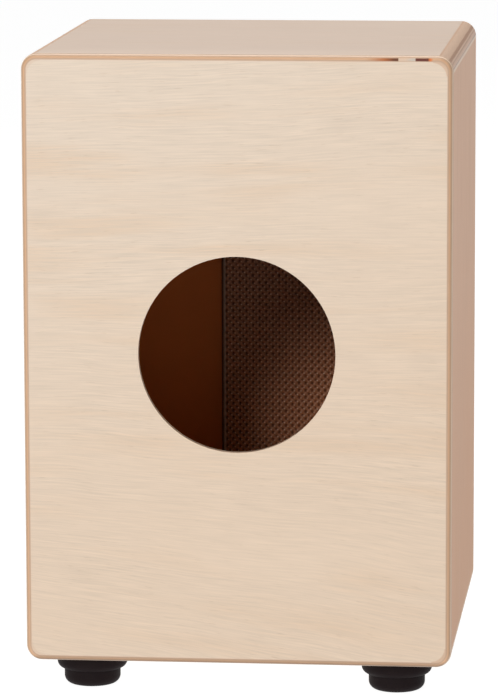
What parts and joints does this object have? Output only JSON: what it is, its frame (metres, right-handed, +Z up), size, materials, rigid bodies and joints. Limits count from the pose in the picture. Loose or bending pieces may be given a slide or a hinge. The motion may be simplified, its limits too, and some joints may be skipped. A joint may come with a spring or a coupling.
{
  "type": "cajon",
  "caption": "Box drum of pale plywood with a round sound hole in the back, a thin playing plate on the front, snare wires behind it and rubber feet.",
  "frame": {"origin": "on the floor, under the middle of the box", "axes": "+Z up, +Y out of the playing plate, -Y out of the sound hole, +X to the right of the seated player"},
  "size_m": [0.3, 0.3, 0.454],
  "materials": {
    "shell_veneer": "clear matt lacquer over pale veneer",
    "panel_veneer": "clear matt lacquer over pale veneer",
    "plate_ply": "dark brown stain, thin plywood",
    "inner_wood": "raw sawn softwood",
    "damping_foam": "matt embossed rubber foam",
    "steel": "bright zinc plate",
    "snare_steel": "bright coiled wire",
    "black_screw": "black oxide",
    "foot_rubber": "moulded matt rubber"
  },
  "bodies": {
    "root": {"top_board": "shell_veneer", "bottom_board": "shell_veneer", "left_side": "shell_veneer", "right_side": "shell_veneer", "back_panel": "panel_veneer", "playing_plate": "plate_ply", "front_batten_left": "inner_wood", "front_batten_right": "inner_wood", "front_batten_top": "inner_wood", "front_batten_bottom": "inner_wood", "corner_block_top_left": "inner_wood", "corner_block_top_right": "inner_wood", "corner_block_bottom_left": "inner_wood", "corner_block_bottom_right": "inner_wood", "damping_pad": "damping_foam", "snare_bar": "inner_wood", "snare_block_left": "inner_wood", "snare_block_right": "inner_wood", "snare_strip_upper_left": "steel", "snare_strip_upper_right": "steel", "snare_wires_left": "snare_steel", "snare_wires_right": "snare_steel", "snare_strip_lower_left": "steel", "snare_strip_lower_right": "steel", "snare_screws": "steel", "snare_block_screws": "steel", "plate_screws": "black_screw", "foot_front_left": "foot_rubber", "foot_front_right": "foot_rubber", "foot_back_left": "foot_rubber", "foot_back_right": "foot_rubber", "foot_washers": "steel", "foot_screws": "steel"}
  },
  "joints": []
}
